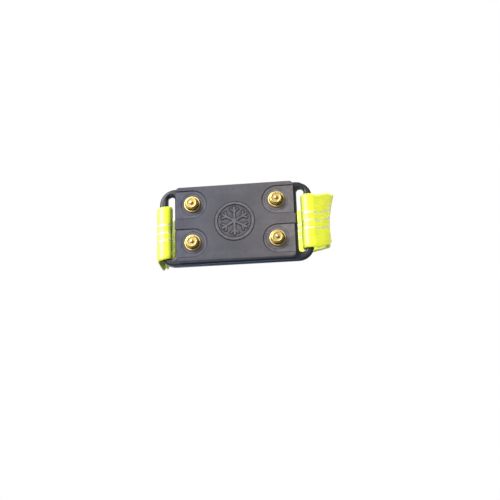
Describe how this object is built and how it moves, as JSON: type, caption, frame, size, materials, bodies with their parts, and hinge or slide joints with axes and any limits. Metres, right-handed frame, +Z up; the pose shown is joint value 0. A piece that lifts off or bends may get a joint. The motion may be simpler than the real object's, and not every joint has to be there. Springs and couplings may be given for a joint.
{
  "type": "shoe ice cleat",
  "caption": "Mid-sole ice cleat: a rubber tread block with brass-headed studs on a loop frame, held under a shoe by a hi-vis webbing strap that closes on itself with hook and loop.",
  "frame": {"origin": "centre of the sole pad's bearing face, on its middle rib", "axes": "+Z up as worn, out of the bearing face towards the shoe; -Y towards the toe; +X across the shoe, to the side where the strap closes"},
  "size_m": [0.1209, 0.0682, 0.1437],
  "materials": {
    "block_rubber": "moulded, satin, slightly dusty",
    "frame_rubber": "moulded, semi-gloss",
    "pad_rubber": "matte, ribbed",
    "plate_steel": "rolled sheet",
    "nut_steel": "zinc plated",
    "stud_brass": "turned, bright",
    "pin_carbide": "ground",
    "hi_vis_webbing": "woven, fluorescent yellow-green with three reflective yarns",
    "closure_pile": "hook and loop pile"
  },
  "bodies": {
    "cleat": {"tread_block": "block_rubber", "loop_frame": "frame_rubber", "backing_plate": "plate_steel", "sole_pad": "pad_rubber", "stud_toe_left": "stud_brass", "carbide_pin_toe_left": "pin_carbide", "tee_nut_toe_left": "nut_steel", "stud_toe_right": "stud_brass", "carbide_pin_toe_right": "pin_carbide", "tee_nut_toe_right": "nut_steel", "stud_heel_left": "stud_brass", "carbide_pin_heel_left": "pin_carbide", "tee_nut_heel_left": "nut_steel", "stud_heel_right": "stud_brass", "carbide_pin_heel_right": "pin_carbide", "tee_nut_heel_right": "nut_steel", "strap": "hi_vis_webbing", "strap_fold": "hi_vis_webbing", "loop_patch": "closure_pile"},
    "flap": {"strap_flap": "hi_vis_webbing"},
    "tab": {"closure_tab": "hi_vis_webbing", "hook_patch": "closure_pile"}
  },
  "joints": [
    {"name": "flap_swing", "type": "hinge", "parent": "cleat", "child": "flap", "pos_m": [0.0465, 0, -0.00445], "axis": [0, 1, 0], "range_deg": [0, 75]},
    {"name": "tab_peel", "type": "hinge", "parent": "flap", "child": "tab", "pos_m": [0.05366, -0.02249, 0.09773], "axis": [-0.0462, 0.9959, 0.0778], "range_deg": [0, 90]}
  ]
}
